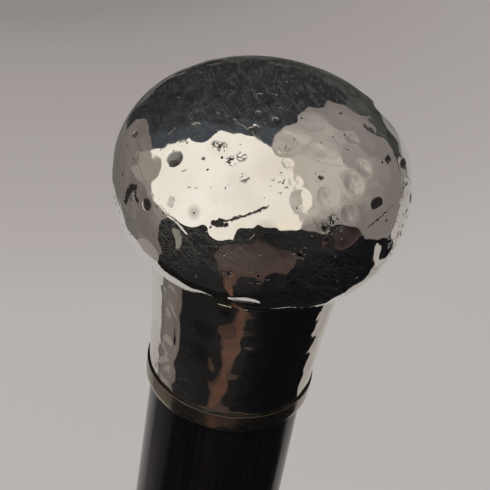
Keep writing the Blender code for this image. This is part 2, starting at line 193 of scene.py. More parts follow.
# Patches with one finish or another, by the name that the mesh carries: softness of their edges,
# then each azimuth in degrees, height and radius in mm, and strength if it isn't 1
KNOB_PATCHES = {
    # corrosion specks
    "specks": (0.45, [
        (31, 5.9, 1.3), (17.8, 2.6, 0.8), (-6.3, -1.8, 0.6), (72, 2.2, 1.1), (68, 0.3, 1.1),
        (63, -1.8, 1.1), (56, -3.6, 1.2), (-14, 8.4, 0.3), (-8, 9.6, 0.6), (8, 9.4, 1),
        (62, 2, 1.6), (78, 5.5, 1.5), (-52, 0.5, 1.2), (-64, -3.5, 2), (4, -1.5, 1), (-95, 8, 1.5),
        (140, 6, 1.8), (-170, 9, 1.4),
    ]),
    # thin curling lines etched by corrosion
    "etching": (0.35, [
        (-29.5, 11.15, 0.45), (-25.5, 11.2, 0.6), (-17, 10.5, 0.6), (-13, 11, 0.6),
        (26.8, 5.4, 0.5), (-6.3, -1.8, 0.5), (30, 6.3, 0.5), (145, 7, 1.2),
    ]),
    # silver flaked off
    "flakes": (0.3, [
        (8.2, 12, 0.9), (11.5, 11.1, 0.6), (15, 9.8, 0.7), (17.5, 7.6, 0.6),
    ]),
    # clouds of thin tarnish
    "stains": (0.5, [
        (-23.2, 4.85, 0.75, 0.5), (-10, 8.5, 2.4, 0.1), (3, 10.8, 2, 0.12), (4.5, 5.1, 1.1, 0.25),
        (40, 6.2, 2, 0.12), (-22, 13.9, 1.2, 0.2),
    ]),
    # scratched dull by cloths
    "rubbing": (0.6, [
        (0, 14, 15, 0.8), (-28, 1.5, 4.5, 1.15), (-8, 2, 3.5, 1), (-45, 12.5, 5, 1),
        (30, -2, 5, 0.35), (150, 6, 6, 0.8), (-140, 9, 6, 0.8),
    ]),
}
COLLAR_PATCHES = {
    "stains": (0.4, [
        (-7.6, -13.3, 0.9, 0.7), (-21, -17.8, 1.6, 0.6), (-22, -22.1, 1.8, 0.5), (150, -18, 2, 0.6),
    ]),
    "rubbing": (0.7, [
        (-26, -18.5, 1.4, 0.8), (-8, -19, 0.9, 0.7), (-27, -22.8, 1.3, 0.7), (-40, -29.5, 3.2, 2),
        (-55, -20, 4, 0.5), (-15, -14.5, 1, 0.3), (70, -20, 3, 0.3), (160, -22, 4, 0.6),
    ]),
}


def linear(code):
    """sRGB hex to a linear colour."""
    parts = [int(code[start:start + 2], 16) / 255 for start in (1, 3, 5)]
    light = [part / 12.92 if part <= 0.04045 else ((part + 0.055) / 1.055) ** 2.4 for part in parts]
    return (*light, 1.0)


def feed(tree, node, inputs):
    """Give a node its inputs: each is a value, an output, or a node, for its first output."""
    for name, value in inputs.items():
        if isinstance(value, bpy.types.Node):
            value = value.outputs[0]
        if isinstance(value, bpy.types.NodeSocket):
            tree.links.new(value, node.inputs[name])
        else:
            node.inputs[name].default_value = value


def add(tree, kind, inputs=None, stops=(), **settings):
    """Add a shader node, its settings and inputs, and for a ramp its (place, hex colour) stops."""
    made = tree.nodes.new("ShaderNode" + kind)
    for name, value in settings.items():
        setattr(made, name, value)
    if stops:
        elements = made.color_ramp.elements
        while len(elements) < len(stops):
            elements.new(0.5)
        for element, (position, code) in zip(elements, stops):
            element.position = position
            element.color = linear(code)
    feed(tree, made, inputs or {})
    return made


def placed(name, data):
    """A new object in the scene."""
    made = bpy.data.objects.new(name, data)
    bpy.context.collection.objects.link(made)
    return made


def finish(name):
    """A new material, its tree, its Principled shader and its object coordinates in metres."""
    made = bpy.data.materials.new(name)
    made.use_nodes = True
    tree = made.node_tree
    place = add(tree, "TexCoord").outputs["Object"]
    return made, tree, tree.nodes["Principled BSDF"], place


def strongest(tree, masks):
    """The strongest of several masks at each place."""
    most = masks[0]
    for mask in masks[1:]:
        most = add(tree, "Math", {0: most, 1: mask}, operation="MAXIMUM")
    return most


def stretched(tree, place, scales, detail):
    """A noise with a scale of its own along X, Y and Z, in waves per metre."""
    pull = add(tree, "VectorMath", {0: place, 1: scales}, operation="MULTIPLY")
    return add(tree, "TexNoise", {"Vector": pull, "Scale": 1.0, "Detail": detail})


# Silver


def knob_radius(height):
    """Outer radius of the knob at a height in metres."""
    full, reach = (CROWN_FULLNESS, CROWN_HEIGHT) if height >= 0 else (BELLY_FULLNESS, BELLY_DEPTH)
    return KNOB_RADIUS * (1.0 - min(abs(height) / reach, 1.0) ** full) ** (1.0 / full)


def collar_radius(height):
    """Outer radius of the collar: it flares up towards the knob."""
    rise = max((height - COLLAR_FOOT) / COLLAR_RISE, 0.0)
    spread = COLLAR_TOP_RADIUS - COLLAR_FOOT_RADIUS
    return COLLAR_FOOT_RADIUS + spread * rise ** COLLAR_FLARE


def on_skin(azimuth, height, radius_at=knob_radius):
    """Point on a piece's skin, from an azimuth in degrees and a height in mm."""
    turn, radius = math.radians(azimuth), radius_at(height * MM)
    return Vector((radius * math.sin(turn), -radius * math.cos(turn), height * MM))


def round_marks(tree, place, marks, softness):
    """The darkest of several round marks at each place. Softness is a share of each radius."""
    masks = []
    for azimuth, height, radius, darkness in marks:
        centre = on_skin(azimuth, height)
        gap = add(tree, "VectorMath", {0: place, 1: centre}, operation="DISTANCE")
        masks.append(add(tree, "MapRange", {
            "Value": gap.outputs["Value"], "To Max": darkness,
            "From Min": radius * MM * (1.0 + softness), "From Max": radius * MM * (1.0 - softness),
        }))
    return strongest(tree, masks)


def scratch_marks(tree, place, moved, uneven_width):
    """The named scratches as grooves, and the tarnish that has settled in some of them."""
    grooves, settled = [], []
    for first, last, width, darkness in SCRATCHES:
        start, end = on_skin(*first), on_skin(*last)
        length = (end - start).length
        across = start.cross(end).normalized()
        aside = add(tree, "VectorMath", {0: moved, 1: across}, operation="DOT_PRODUCT")
        away = add(tree, "Math", {0: aside.outputs["Value"]}, operation="ABSOLUTE")
        away = add(tree, "Math", {0: away, 1: uneven_width}, operation="DIVIDE")
        line = add(tree, "MapRange", {
            "Value": away, "From Min": width * MM, "From Max": width * 0.4 * MM,
        })
        run = add(tree, "VectorMath", {0: place, 1: (start + end) / 2}, operation="DISTANCE")
        ends = add(tree, "MapRange", {
            "Value": run.outputs["Value"], "From Min": length * 0.5, "From Max": length * 0.4,
        })
        groove = add(tree, "Math", {0: line, 1: ends}, operation="MULTIPLY")
        grooves.append(groove)
        settled.append(add(tree, "Math", {0: groove, 1: darkness}, operation="MULTIPLY"))
    return strongest(tree, grooves), strongest(tree, settled)


def wandering(tree, place, scale, reach):
    """The place, moved about by a noise of this scale, so that edges are ragged, and the noise."""
    noise = add(tree, "TexNoise", {"Vector": place, "Scale": scale, "Detail": 2.0})
    shift = add(tree, "VectorMath", {
        0: noise.outputs["Color"], 1: (0.5,) * 3,
    }, operation="SUBTRACT")
    moved = add(tree, "VectorMath", {
        0: shift, 1: (reach,) * 3, 2: place,
    }, operation="MULTIPLY_ADD")
    return moved, noise


def knob_marks(tree, place):
    """Where the knob is tarnished black, where it is cut, stained with thin tarnish, and rubbed."""
    specked, etched, flaked, stained, rubbed = (
        add(tree, "Attribute", attribute_name=name).outputs["Fac"] for name in KNOB_PATCHES
    )
    ragged, _ = wandering(tree, place, 900.0, 0.45 * MM)
    pits = round_marks(tree, ragged, PITS, 0.12)

    # specks 0.3 to 0.6 mm across that run together, only inside their patches
    speck = add(tree, "TexNoise", {
        "Vector": place, "Scale": 1350.0, "Detail": 3.0, "Distortion": 0.8,
    })
    speck = add(tree, "MapRange", {"Value": speck, "From Min": 0.58, "From Max": 0.61})
    specks = add(tree, "Math", {0: speck, 1: specked}, operation="MULTIPLY")

    # etched lines 0.15 mm wide, along the middle level of a noise
    line = add(tree, "TexNoise", {"Vector": place, "Scale": 1500.0, "Detail": 1.0})
    line = add(tree, "Math", {0: line, 1: 0.5}, operation="SUBTRACT")
    line = add(tree, "Math", {0: line}, operation="ABSOLUTE")
    line = add(tree, "MapRange", {"Value": line, "From Min": 0.075, "From Max": 0.05})
    lines = add(tree, "Math", {0: line, 1: etched}, operation="MULTIPLY")

    # a few stray specks anywhere
    stray = add(tree, "TexNoise", {"Vector": place, "Scale": 1100.0, "Detail": 1.0})
    stray = add(tree, "MapRange", {"Value": stray, "From Min": 0.76, "From Max": 0.79})

    # scratches waver by 0.3 mm and change their width
    moved, width = wandering(tree, place, 1500.0, 0.7 * MM)
    grooves, settled = scratch_marks(tree, place, moved, width)
    dark = strongest(tree, [pits, specks, lines, stray, settled])

    # flakes 0.5 mm across, only cut
    flake = add(tree, "TexNoise", {"Vector": place, "Scale": 1900.0, "Detail": 2.0})
    flakes = add(tree, "Math", {0: flake, 1: flaked}, operation="MULTIPLY")
    return dark, strongest(tree, [dark, grooves, flakes]), stained, rubbed


def joint_grime_and_shade(levels, wander_height, patches=()):
    """Marks for a piece that is darkened between these pairs of levels, where it meets the next
    piece: old polish and dirt, and painted shade of the joint. Patches name its stained and rubbed
    ones."""

    def marks(tree, place):
        split = add(tree, "SeparateXYZ", {"Vector": place})
        wander = add(tree, "TexNoise", {"Vector": place, "Scale": 900.0, "Detail": 2.0})
        level = add(tree, "Math", {
            0: wander, 1: wander_height, 2: split.outputs["Z"],
        }, operation="MULTIPLY_ADD")
        masks = []
        for low, high in levels:
            middle = (low + high + wander_height) / 2
            above = add(tree, "Math", {0: level, 1: middle}, operation="SUBTRACT")
            masks.append(add(tree, "MapRange", {
                "Value": add(tree, "Math", {0: above}, operation="ABSOLUTE"), "To Max": 0.95,
                "From Min": (high - low) / 2 + 0.04 * MM, "From Max": (high - low) / 2 - 0.01 * MM,
            }))
        dark = strongest(tree, masks)
        worn = [add(tree, "Attribute", attribute_name=name).outputs["Fac"] for name in patches]
        return dark, dark, *(worn or (None, None))

    return marks


def polishing_lines(tree, place):
    """Mask of fine straight scratches 0.2 mm wide and 3 mm long that lie three ways across each
    other. They are drawn some five times as wide as real ones, so that they show."""
    masks = []
    for axis, angle, low in (
        ((-0.4, 1.0, 0.0), -0.6, 0.51),
        ((0.2, 1.0, 0.0), 0.5, 0.57),
        ((1.0, 0.3, 0.4), 0.9, 0.6),
    ):
        turn = add(tree, "VectorRotate", {"Vector": place, "Axis": axis, "Angle": angle})
        brushed = stretched(tree, turn, (360.0, 360.0, 4600.0), 1.0)
        masks.append(add(tree, "MapRange", {
            "Value": brushed, "From Min": low, "From Max": low + 0.1,
        }))
    return strongest(tree, masks)


def silver(name, clean, aged, roughness, dullness, haze, waves, marks):
    """Sterling silver, hammered and hand-polished: mirror bright, with a warm breath of old
    tarnish, and a thin haze of fine scratches and tiny pits that dark reflections show up."""
    made, tree, shader, place = finish(name)

    # tarnish clouds about 9 mm across
    few, many = 0.35, 0.7
    cloud = add(tree, "TexNoise", {"Vector": place, "Scale": 110.0, "Detail": 4.0})
    tone = add(tree, "ValToRGB", {"Fac": cloud}, [(few, clean), (many, aged)])
    dark, cut, stained, rubbed = marks(tree, place)
    for mask, shade in ((stained, "#6F6450"), (dark, "#2A2724")):
        if mask is not None:
            mixed = add(tree, "Mix", {0: mask, 6: tone, 7: linear(shade)}, data_type="RGBA")
            tone = mixed.outputs[2]
    rough = add(tree, "MapRange", {
        "Value": cloud, "From Min": few, "From Max": many,
        "To Min": roughness, "To Max": roughness + dullness,
    })
    rough = add(tree, "Mix", {0: dark, 2: rough, 3: 0.4}, data_type="FLOAT")

    # unevenness left by the planishing, as noise scales and depths in mm, and then the cuts
    under = {}
    for scales, depth in waves:
        wave = stretched(tree, place, scales, 1.0)
        wave = add(tree, "Bump", {"Distance": depth * MM, "Height": wave, **under})
        under = {"Normal": wave}
    normal = add(tree, "Bump", {"Distance": 0.06 * MM, "Height": cut, **under}, invert=True)

    # scratches and pits scatter a little light: a rough film over the mirror, thin but uneven
    grain = add(tree, "TexNoise", {"Vector": place, "Scale": 1700.0, "Detail": 4.0})
    grain = add(tree, "MapRange", {
        "Value": grain, "From Min": 0.44, "From Max": 0.68, "To Max": 0.5 * haze,
    })
    film = add(tree, "Math", {
        0: polishing_lines(tree, place), 1: 0.7 * haze, 2: grain,
    }, operation="MULTIPLY_ADD")
    if rubbed is not None:
        often = add(tree, "Math", {0: rubbed, 1: 0.92, 2: 0.08}, operation="MULTIPLY_ADD")
        film = add(tree, "Math", {0: film, 1: often}, operation="MULTIPLY")
    feed(tree, shader, {
        "Base Color": tone, "Roughness": rough, "Normal": normal, "Metallic": 1.0,
        "Coat Weight": film, "Coat Roughness": 1.0, "Coat Normal": normal, "Coat IOR": 2.4,
    })
    return made


# Wood, brass, steel, iron and pitch


def black_wood():
    """Ebonised hardwood under many coats of shellac: near black, deep gloss, with the grain just
    showing as faint long ridges, and a few dull rubs from handling."""
    made, tree, shader, place = finish("ebonised_wood")
    # grain lines about 0.5 mm wide and 30 mm long
    fibre = stretched(tree, place, (2000.0, 2000.0, 33.0), 4.0)
    shades = [(0.3, "#0A0A0D"), (0.62, "#111115"), (0.8, "#1A1818")]
    # rubs about 11 mm across
    rub = add(tree, "TexNoise", {"Vector": place, "Scale": 90.0, "Detail": 4.0})
    gloss = add(tree, "MapRange", {
        "Value": rub, "From Min": 0.35, "From Max": 0.75, "To Min": 0.12, "To Max": 0.22,
    })
    ridge = add(tree, "Bump", {"Distance": 0.003 * MM, "Height": fibre})
    feed(tree, shader, {
        "Base Color": add(tree, "ValToRGB", {"Fac": fibre}, shades), "Roughness": gloss,
        "Normal": ridge, "IOR": 1.31, "Coat Weight": 0.06, "Coat Roughness": 0.2, "Coat IOR": 1.5,
    })
    return made


def worn_metal(name, shades, roughness, scratch_scale):
    """A plain metal that has met the ground for years: bright on its high places, browned between
    them, with fine scratches both ways and dark specks."""
    made, tree, shader, place = finish(name)
    # clouds 4 mm across, knocks 2 mm across, and lines 3 mm long
    cloud = add(tree, "TexNoise", {"Vector": place, "Scale": 260.0, "Detail": 5.0})
    scratch = stretched(tree, place, (300.0, 300.0, scratch_scale), 4.0)
    knocks = add(tree, "TexNoise", {"Vector": place, "Scale": 480.0, "Detail": 2.0})
    lined = add(tree, "Bump", {"Distance": 0.015 * MM, "Height": scratch})
    knocked = add(tree, "Bump", {"Distance": 0.06 * MM, "Height": knocks, "Normal": lined})
    worn = add(tree, "MapRange", {
        "Value": cloud, "To Min": roughness, "To Max": roughness + 0.35,
    })
    stops = list(zip((0.32, 0.6, 0.78), shades))
    feed(tree, shader, {
        "Base Color": add(tree, "ValToRGB", {"Fac": cloud}, stops), "Roughness": worn,
        "Normal": knocked, "Metallic": 1.0,
    })
    return made


def pitch():
    """Cast shellac and pitch cement: dark brown, glassy where it broke, with small bubbles."""
    made, tree, shader, place = finish("shellac_pitch")
    # swirls 3 mm across and bubbles 1 mm across
    swirl = add(tree, "TexNoise", {"Vector": place, "Scale": 300.0, "Detail": 4.0})
    bubble = add(tree, "TexVoronoi", {"Vector": place, "Scale": 900.0})
    feed(tree, shader, {
        "Base Color": add(tree, "ValToRGB", {"Fac": swirl}, [(0.3, "#1C120C"), (0.7, "#3A2618")]),
        "Normal": add(tree, "Bump", {"Strength": 0.6, "Distance": 0.1 * MM, "Height": bubble}),
        "Roughness": 0.28,
    })
    return made


# Turned pieces


def turned(name, outline, sides):
    """One closed piece turned about Z from (radius, height) pairs, smooth across gentle angles.
    The section is a loop, or a line that starts and ends on the axis."""
    circle = [math.tau * side / sides for side in range(sides)]
    points, rings = [], []
    for radius, height in outline:
        first = len(points)
        if radius < 1e-9:
            points.append((0.0, 0.0, height))
            rings.append([first] * sides)
        else:
            points.extend((radius * math.cos(t), radius * math.sin(t), height) for t in circle)
            rings.append(list(range(first, first + sides)))
    if outline[0][0] > 1e-9:
        rings.append(rings[0])
    faces = []
    for lower, upper in zip(rings, rings[1:]):
        for side in range(sides):
            after = (side + 1) % sides
            corners = [lower[side], lower[after], upper[after], upper[side]]
            faces.append(list(dict.fromkeys(corners)))
    mesh = bpy.data.meshes.new(name)
    mesh.from_pydata(points, [], faces)
    outwards = bmesh.new()
    outwards.from_mesh(mesh)
    bmesh.ops.recalc_face_normals(outwards, faces=outwards.faces)
    outwards.to_mesh(mesh)
    outwards.free()
    mesh.shade_smooth()
    mesh.set_sharp_from_angle(angle=SHARP_ANGLE)
    return placed(name, mesh)


def mesh_points(mesh):
    """All the mesh's points and their outward directions."""
    flat = np.empty(len(mesh.vertices) * 3, np.float32)
    mesh.vertices.foreach_get("co", flat)
    points = flat.reshape(-1, 3).astype(float)
    mesh.vertex_normals.foreach_get("vector", flat)
    return points, flat.reshape(-1, 3).astype(float)


def scattered(points, spacing, seed):
    """Some of the points, in an uneven order, none closer together than the spacing."""
    dice = np.random.default_rng(seed)
    chosen = []
    for point in points[dice.permutation(len(points))[:BLOW_TRIES]]:
        if not chosen or np.min(np.sum((np.array(chosen) - point) ** 2, axis=1)) > spacing ** 2:
            chosen.append(point)
    return np.array(chosen)


def hammered(points, spacing, radius, depth, softness, seed):
    """Depth that overlapping blows of a nearly flat hammer face take off at each point. Softness
    is how far the edge between two blows is rounded. All but the seed are in mm."""
    blows = scattered(points, spacing * MM, seed)
    dice = np.random.default_rng(seed + 1)
    deep = depth * MM * dice.uniform(*BLOW_DEPTHS, len(blows))
    wide = radius * MM * dice.uniform(*BLOW_SIZES, len(blows))
    total = np.ones(len(points))
    for blow, most, reach in zip(blows, deep, wide):
        away = np.sum((points - blow) ** 2, axis=1)
        near = away < (BLOW_REACH * reach) ** 2
        total[near] += np.exp(most * (1.0 - away[near] / reach ** 2) / (softness * MM))
    return softness * MM * np.log(total)


def dented(points, dents, radius_at=knob_radius):
    """Depth of the named dents: each is a round bowl with a narrow soft rim."""
    depth = np.zeros(len(points))
    for azimuth, height, radius, deep in dents:
        away = np.sum((points - np.array(on_skin(azimuth, height, radius_at))) ** 2, axis=1)
        bowl = np.exp(RIM_SHARPNESS * (1.0 - away / (radius * MM) ** 2))
        depth += deep * MM / RIM_SHARPNESS * np.log1p(bowl)
    return depth


def uneven(points, length, depth, seed):
    """A slow unevenness, waves about this long and deep in mm in random directions."""
    dice = np.random.default_rng(seed)
    waves = 14
    total = np.zeros(len(points))
    for _ in range(waves):
        way = dice.normal(size=3)
        way /= np.linalg.norm(way)
        pace = math.tau / (length * MM * dice.uniform(0.7, 1.6))
        total += np.sin(points @ way * pace + dice.uniform(0.0, math.tau))
    return depth * MM * (0.5 + total / waves)


def creased(points, path, width, depth):
    """Depth of a soft crease along azimuths and heights on the collar."""
    line = np.array([on_skin(*corner, collar_radius) for corner in path])
    nearest = np.full(len(points), 1.0)
    for start, end in zip(line, line[1:]):
        run = end - start
        share = np.clip((points - start) @ run / (run @ run), 0.0, 1.0)
        away = np.linalg.norm(points - start - share[:, None] * run, axis=1)
        nearest = np.minimum(nearest, away)
    return depth * MM * np.exp(-((nearest / (width * MM)) ** 2))


def twisted(points):
    """Depth of a slight twist down the collar's front, where the tube was bent round by hand."""
    turn = np.degrees(np.arctan2(points[:, 0], -points[:, 1]))
    middle = (COLLAR_TOP + COLLAR_FOOT) / 2
    lean = (points[:, 2] - middle) / (COLLAR_TOP - middle)
    # a flat 0.24 mm deep, with one side higher than the other, more so towards the top
    across = turn / 10.0 * np.exp(-((turn / 18.0) ** 2))
    return (0.24 * np.exp(-((turn / 25.0) ** 2)) - (0.13 + 0.17 * lean) * across) * MM


def patched(piece, named_patches, radius_at=knob_radius):
    """Give the mesh its soft round patches, as strengths that the material reads by name."""
    points, _ = mesh_points(piece.data)
    for name, (softness, patches) in named_patches.items():
        value = np.zeros(len(points))
        for azimuth, height, radius, *strength in patches:
            centre = np.array(on_skin(azimuth, height, radius_at))
            away = np.linalg.norm(points - centre, axis=1) / (radius * MM)
            inside = np.clip((1.0 + softness - away) / (2.0 * softness), 0.0, 1.0)
            value = np.maximum(value, inside * (strength[0] if strength else 1.0))
        piece.data.attributes.new(name, "FLOAT", "POINT").data.foreach_set("value", value)


def press(piece, where, depth):
    """Push the chosen points of the piece inwards."""
    mesh = piece.data
    points, outward = mesh_points(mesh)
    points[where] -= outward[where] * depth[:, None]
    mesh.vertices.foreach_set("co", points.astype(np.float32).ravel())
    mesh.update()


def knob_curve(radius, height, fullness, count, inner=0.0):
    """Quarter of the knob's section from the widest circle inwards, in even steps."""
    power = 2.0 / fullness
    last = math.acos((inner / radius) ** (1.0 / power))
    angles = np.linspace(0.0, last, 1500)  # fine enough to measure the curve by
    across = radius * np.cos(angles) ** power
    up = height * np.sin(angles) ** power
    run = np.concatenate([[0.0], np.cumsum(np.hypot(np.diff(across), np.diff(up)))])
    even = np.linspace(0.0, run[-1], count + 1)
    return list(zip(np.interp(even, run, across).tolist(), np.interp(even, run, up).tolist()))


def hammered_knob():
    """Raised silver knob: crown and belly in one skin, hollow, with a neck down in the collar."""
    bore = KNOB_RADIUS - KNOB_GAUGE
    crown = knob_curve(KNOB_RADIUS, CROWN_HEIGHT, CROWN_FULLNESS, round(CROWN_RUN / KNOB_ROW))
    belly = knob_curve(
        KNOB_RADIUS, -BELLY_DEPTH, BELLY_FULLNESS, round(BELLY_RUN / KNOB_ROW), NECK_RADIUS
    )
    crown[-1] = (0.0, CROWN_HEIGHT)
    crown_inside = knob_curve(bore, CROWN_HEIGHT - KNOB_GAUGE, CROWN_FULLNESS, count=12)
    crown_inside[-1] = (0.0, CROWN_HEIGHT - KNOB_GAUGE)
    belly_inside = knob_curve(
        bore, KNOB_GAUGE - BELLY_DEPTH, BELLY_FULLNESS, count=10, inner=NECK_RADIUS - KNOB_GAUGE
    )
    neck = [(NECK_RADIUS, NECK_FOOT), (NECK_RADIUS - KNOB_GAUGE, NECK_FOOT)]
    outline = crown[::-1] + belly[1:] + neck + belly_inside[::-1] + crown_inside[1:]
    knob = turned("hammered_knob", outline, KNOB_SIDES)
    skin = slice((len(crown) + len(belly) - 2) * KNOB_SIDES + 1)
    outer = mesh_points(knob.data)[0][skin]
    depth = hammered(outer, spacing=3.2, radius=1.75, depth=0.075, softness=0.005, seed=7)
    depth += uneven(outer, length=14.0, depth=0.05, seed=3) + dented(outer, DENTS)
    press(knob, skin, np.maximum(depth, 0.0))
    patched(knob, KNOB_PATCHES)
    return knob


def hammered_collar():
    """Flared silver collar, lightly planished, its top edge against the knob's underside."""
    levels = np.linspace(COLLAR_FOOT + EDGE_BREAK, COLLAR_TOP, COLLAR_ROWS)
    skin = [(collar_radius(level), level) for level in levels]
    inside = [(radius - COLLAR_GAUGE, level) for radius, level in skin[::-5]]
    foot = [
        (COLLAR_FOOT_RADIUS - COLLAR_GAUGE, COLLAR_FOOT),
        (COLLAR_FOOT_RADIUS - EDGE_BREAK, COLLAR_FOOT),
    ]
    collar = turned("hammered_collar", skin + inside + foot, COLLAR_SIDES)
    where = slice(COLLAR_ROWS * COLLAR_SIDES)
    outer = mesh_points(collar.data)[0][where]
    depth = hammered(outer, spacing=2.5, radius=1.6, depth=0.045, softness=0.003, seed=21)
    depth += uneven(outer, length=6.5, depth=0.07, seed=5) + twisted(outer)
    depth += dented(outer, COLLAR_DENTS, collar_radius)
    for crease in CREASES:
        depth += creased(outer, *crease)
    press(collar, where, np.maximum(depth, 0.0))
    patched(collar, COLLAR_PATCHES, collar_radius)
    return collar


def turned_band():
    """Plain silver band, square at its top edge and rounded at its lower one."""
    outline = [
        (BAND_BORE, BAND_TOP),
        (BAND_RADIUS, BAND_TOP),
        (BAND_RADIUS - 0.01 * MM, BAND_TOP - 1.0 * MM),
    ]
    side, inward = BAND_RADIUS - 0.02 * MM, BAND_RADIUS - BAND_BORE - EDGE_BREAK
    for t in np.linspace(0.0, math.pi / 2, 12):
        radius = side - inward * (1.0 - math.cos(t))
        outline.append((radius, BAND_FOOT + BAND_ROUNDING * (1.0 - math.sin(t))))
    return turned("turned_band", outline + [(BAND_BORE, BAND_FOOT)], BAND_SIDES)


def ferrule_radius(level):
    """Outer radius of the ferrule's taper."""
    rise = (level - FERRULE_FOOT) / (FERRULE_TOP - FERRULE_FOOT)
    return FERRULE_FOOT_RADIUS + (FERRULE_TOP_RADIUS - FERRULE_FOOT_RADIUS) * rise


def polished_shaft():
    """Round tapered shaft with its tenon and spigot, a little uneven from the spokeshave."""
    floor = TENON_TOP - SCREW_HOLE_DEPTH
    tenon = [
        (0.0, floor), (SCREW_HOLE_RADIUS, floor), (SCREW_HOLE_RADIUS, TENON_TOP),
        (PEG_RADIUS - PEG_CHAMFER, TENON_TOP), (PEG_RADIUS, TENON_TOP - PEG_CHAMFER),
        (PEG_RADIUS, NECK_FOOT), (TENON_FOOT_RADIUS, TENON_FOOT), (SHAFT_TOP_RADIUS, TENON_FOOT),
    ]
    levels = np.linspace(BAND_FOOT, FERRULE_TOP, SHAFT_ROWS)
    radii = np.linspace(SHAFT_TOP_RADIUS, FERRULE_TOP_RADIUS, SHAFT_ROWS)
    body = list(zip(radii.tolist(), levels.tolist()))
    spigot = [
        (ferrule_radius(level) - FERRULE_GAUGE - SPIGOT_CLEARANCE, level)
        for level in (FERRULE_TOP, SPIGOT_FOOT)
    ]
    shaft = turned("polished_shaft", tenon + body + spigot + [(0.0, SPIGOT_FOOT)], SHAFT_SIDES)
    start = 1 + (len(tenon) - 1) * SHAFT_SIDES
    where = slice(start, start + SHAFT_ROWS * SHAFT_SIDES)
    lengthwise = mesh_points(shaft.data)[0][where] * np.array([1.0, 1.0, 0.2])
    press(shaft, where, uneven(lengthwise, length=16.0, depth=0.07, seed=11))
    return shaft


def brass_ferrule():
    """Tapered brass tube with two turned lines under its top edge, knocked about near the foot."""
    outside = [(ferrule_radius(FERRULE_TOP) - EDGE_BREAK, FERRULE_TOP)]
    for drop in (2.4, 3.6):  # the two lines, each 0.5 mm high and 0.18 mm deep
        for lift, cut in ((0.25, 0.0), (0.0, 0.18), (-0.25, 0.0)):
            level = FERRULE_TOP - drop * MM + lift * MM
            outside.append((ferrule_radius(level) - cut * MM, level))
    start = len(outside)
    levels = np.linspace(FERRULE_TOP - 4.5 * MM, FERRULE_FOOT + 0.2 * MM, FERRULE_ROWS)
    outside += [(ferrule_radius(level), level) for level in levels]
    outside += [(FERRULE_FOOT_RADIUS - EDGE_BREAK, FERRULE_FOOT)]
    inside = [
        (FERRULE_FOOT_RADIUS - FERRULE_GAUGE, FERRULE_FOOT),
        (FERRULE_TOP_RADIUS - FERRULE_GAUGE, FERRULE_TOP),
    ]
    ferrule = turned("brass_ferrule", outside + inside, FERRULE_SIDES)
    where = slice(start * FERRULE_SIDES, (start + FERRULE_ROWS) * FERRULE_SIDES)
    outer = mesh_points(ferrule.data)[0][where]
    # the knocks begin 8 mm under the top edge and are full 20 mm lower
    low = np.clip((FERRULE_TOP - 8.0 * MM - outer[:, 2]) / (20.0 * MM), 0.0, 1.0)
    depth = hammered(outer, spacing=4.5, radius=2.2, depth=0.05, softness=0.01, seed=33)
    press(ferrule, where, depth * low)
    return ferrule


def pin_head(name, turn):
    """Round brass pin through the ferrule, its head a little flattened by the hammer."""
    dome = [
        (PIN_HEAD_RADIUS * math.cos(t) ** 0.9, PIN_HEAD_HEIGHT * math.sin(t) ** 0.8)
        for t in np.linspace(0.0, math.pi / 2, 9)
    ]
    dome[-1] = (0.0, PIN_HEAD_HEIGHT)
    point = [(0.0, -PIN_LENGTH), (PIN_RADIUS, PIN_RADIUS - PIN_LENGTH), (PIN_RADIUS, 0.0)]
    pin = turned(name, point + dome, PIN_SIDES)
    low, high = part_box("ferrule_pin_1")
    out = Matrix.Translation((high.x - PIN_HEAD_HEIGHT, 0.0, (high.z + low.z) / 2))
    lay = Matrix.Rotation(math.pi / 2, 4, "Y")
    pin.data.transform(Matrix.Rotation(turn, 4, "Z") @ out @ lay)
    return pin


# Studio


def direction(azimuth, elevation):
    """Unit vector from the knob towards a place in the studio, in degrees."""
    turn, rise = math.radians(azimuth), math.radians(elevation)
    level = math.cos(rise)
    return Vector((math.sin(turn) * level, -math.cos(turn) * level, math.sin(rise)))


def glowing_card_finish(name, tones, along, low, high, patchy):
    """Studio card that glows with its own light, not lit by the lamps, and that only reflections
    see: painted light and shade of the room around. Its tone runs through the colours along a line,
    from the low place to the high one, a little patchy, painted as cloth and paper look in soft
    light."""
    made = bpy.data.materials.new(name)
    made.use_nodes = True
    tree = made.node_tree
    tree.nodes.clear()
    place = add(tree, "TexCoord").outputs["Object"]
    along = Vector(along).normalized()
    run = add(tree, "VectorMath", {0: place, 1: along}, operation="DOT_PRODUCT")
    rise = add(tree, "MapRange", {
        "Value": run.outputs["Value"], "From Min": low, "From Max": high,
    }, clamp=False)
    # clouds about 14 cm across
    cloud = add(tree, "TexNoise", {"Vector": place, "Scale": 7.0, "Detail": 2.0})
    shift = add(tree, "MapRange", {
        "Value": cloud, "To Min": -patchy, "To Max": patchy,
    }, clamp=False)
    level = add(tree, "Math", {0: rise, 1: shift})
    stops = [(index / (len(tones) - 1), code) for index, code in enumerate(tones)]
    tone = add(tree, "ValToRGB", {"Fac": level}, stops)
    glow = add(tree, "Emission", {"Color": tone})
    add(tree, "OutputMaterial", {"Surface": glow})
    return made


def smooth_loop(ways):
    """A smooth closed line of directions through the given ones."""
    line = []
    count = len(ways)
    for index in range(count):
        before, first, last, after = (ways[(index + shift) % count] for shift in (-1, 0, 1, 2))
        for part in (0.0, 0.25, 0.5, 0.75):
            bend = 2 * before - 5 * first + 4 * last - after
            turn = 3 * first - before - 3 * last + after
            way = 0.5 * (2 * first + (last - before) * part + bend * part ** 2 + turn * part ** 3)
            line.append(way.normalized())
    return line


